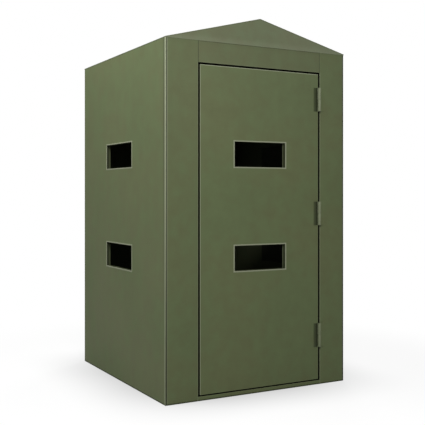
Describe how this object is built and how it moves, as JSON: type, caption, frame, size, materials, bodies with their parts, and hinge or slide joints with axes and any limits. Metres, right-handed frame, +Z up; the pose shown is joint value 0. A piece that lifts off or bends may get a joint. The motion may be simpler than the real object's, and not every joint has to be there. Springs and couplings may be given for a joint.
{
  "type": "security guard booth",
  "caption": "Gable-roofed sheet-steel guard booth with an outward-opening flush door on barrel hinges and slot-shaped look-out ports in its walls and door.",
  "frame": {"origin": "on the ground at the centre of the plan between the walls, on the underside of the middle floor joist", "axes": "+Z up, +Y from the door to the back wall, +X to the right as the door is faced"},
  "size_m": [1.328, 1.4535, 2.37],
  "materials": {
    "wall_paint": "semi-matt olive green powder coat",
    "front_paint": "semi-matt olive green powder coat",
    "gable_paint": "semi-matt olive green powder coat",
    "roof_paint": "semi-matt olive green powder coat",
    "door_paint": "semi-matt olive green powder coat",
    "port_paint": "semi-matt olive green powder coat, worn brighter on the edges",
    "lining_paint": "matt dark green-grey paint",
    "frame_paint": "matt dark green-grey paint",
    "floor_steel": "matt dark floor paint",
    "hinge_paint": "satin olive green paint, rubbed on the barrel"
  },
  "bodies": {
    "booth": {"base_rail_left": "frame_paint", "base_rail_right": "frame_paint", "base_rail_back": "frame_paint", "door_sill": "front_paint", "floor_joists": "frame_paint", "floor_plate": "floor_steel", "left_wall": "wall_paint", "right_wall": "wall_paint", "back_wall": "wall_paint", "left_lining": "lining_paint", "right_lining": "lining_paint", "back_lining": "lining_paint", "left_post": "front_paint", "right_post": "front_paint", "header": "front_paint", "back_post_left": "frame_paint", "back_post_right": "frame_paint", "eave_rail_left": "frame_paint", "eave_rail_right": "frame_paint", "back_top_rail": "frame_paint", "ridge_beam": "frame_paint", "roof_left": "roof_paint", "roof_right": "roof_paint", "front_gable": "gable_paint", "back_gable": "gable_paint", "door_stop_left": "frame_paint", "door_stop_right": "frame_paint", "door_stop_top": "frame_paint", "left_ports": "port_paint", "back_ports": "port_paint", "right_ports": "port_paint", "right_port_covers": "wall_paint", "frame_hinge_top": "hinge_paint", "frame_hinge_middle": "hinge_paint", "frame_hinge_bottom": "hinge_paint"},
    "door": {"door_skin": "door_paint", "door_lining": "lining_paint", "door_stile_left": "door_paint", "door_stile_right": "door_paint", "door_rails": "door_paint", "door_ports": "port_paint", "door_hinge_top": "hinge_paint", "door_hinge_middle": "hinge_paint", "door_hinge_bottom": "hinge_paint"}
  },
  "joints": [
    {"name": "door_swing", "type": "hinge", "parent": "booth", "child": "door", "pos_m": [0.455, -0.726, 1.131], "axis": [0, 0, 1], "range_deg": [0, 170]}
  ]
}
